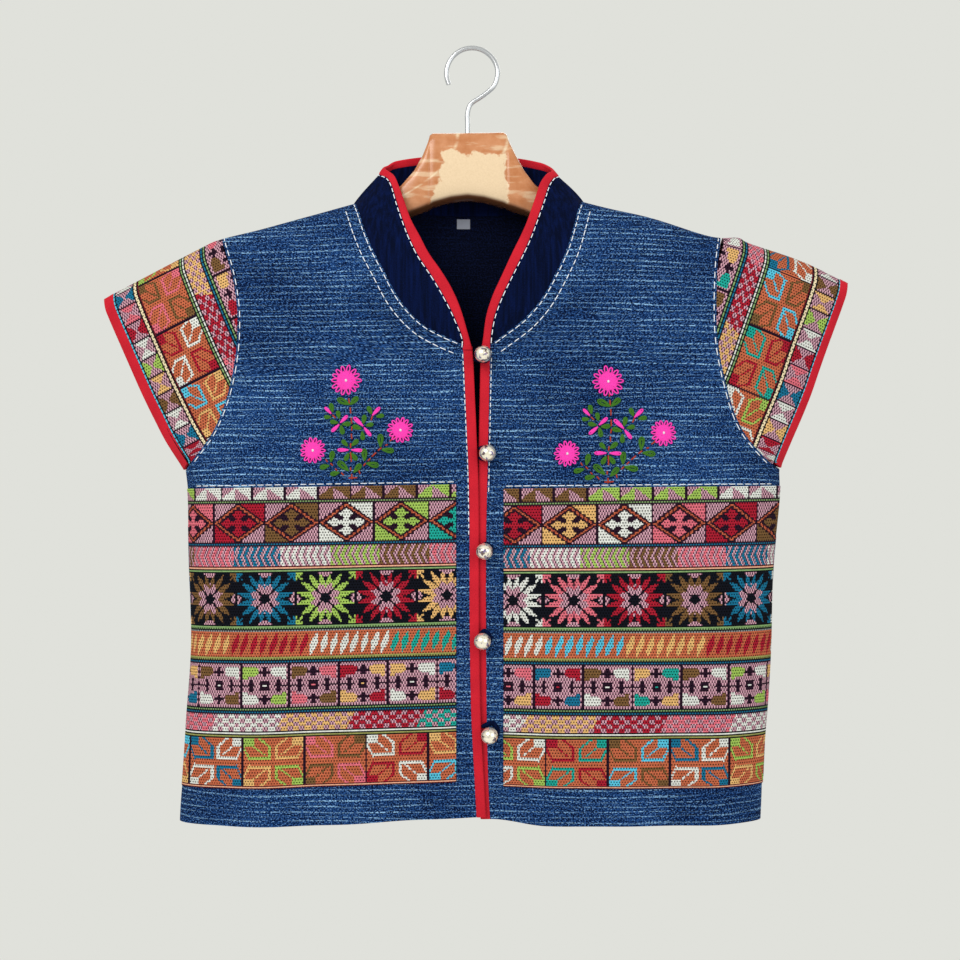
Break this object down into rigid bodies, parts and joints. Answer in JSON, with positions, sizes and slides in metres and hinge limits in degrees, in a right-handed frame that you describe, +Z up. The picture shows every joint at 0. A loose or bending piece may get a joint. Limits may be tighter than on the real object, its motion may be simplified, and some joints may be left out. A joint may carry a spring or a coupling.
{
  "type": "mandarin collar blouse on wooden hanger",
  "caption": "Cropped blouse with a mandarin collar open in a V, cap sleeves and banded woven front panels, hung flat on a wooden hanger by its steel hook.",
  "frame": {"origin": "inside top of the hanger's hook, where a rail carries it", "axes": "+Z up, +X toward the wearer's left, the fronts face -Y"},
  "size_m": [0.6103, 0.0805, 0.6309],
  "materials": {
    "denim": "slub woven indigo cotton, matt",
    "collar_cloth": "plain woven deep indigo cotton, matt",
    "brocade": "banded brocade in many colours, matt",
    "binding": "red plain woven cotton binding",
    "button": "polished silver ball",
    "loop_cloth": "deep indigo cotton cord",
    "label": "woven grey tab",
    "wood": "lacquered, two tones of mottled tan and cream",
    "steel": "plain wire"
  },
  "bodies": {
    "root": {"front_right": "denim", "front_left": "denim", "back": "denim", "collar": "collar_cloth", "sleeve_right": "brocade", "sleeve_left": "brocade", "panel_right": "brocade", "panel_left": "brocade", "collar_binding": "binding", "front_binding_right": "binding", "front_binding_left": "binding", "sleeve_binding_right": "binding", "sleeve_binding_left": "binding", "button_1": "button", "loop_1": "loop_cloth", "button_2": "button", "loop_2": "loop_cloth", "button_3": "button", "loop_3": "loop_cloth", "button_4": "button", "loop_4": "loop_cloth", "button_5": "button", "loop_5": "loop_cloth", "size_label": "label", "hanger": "wood", "hanger_hook": "steel"}
  },
  "joints": []
}
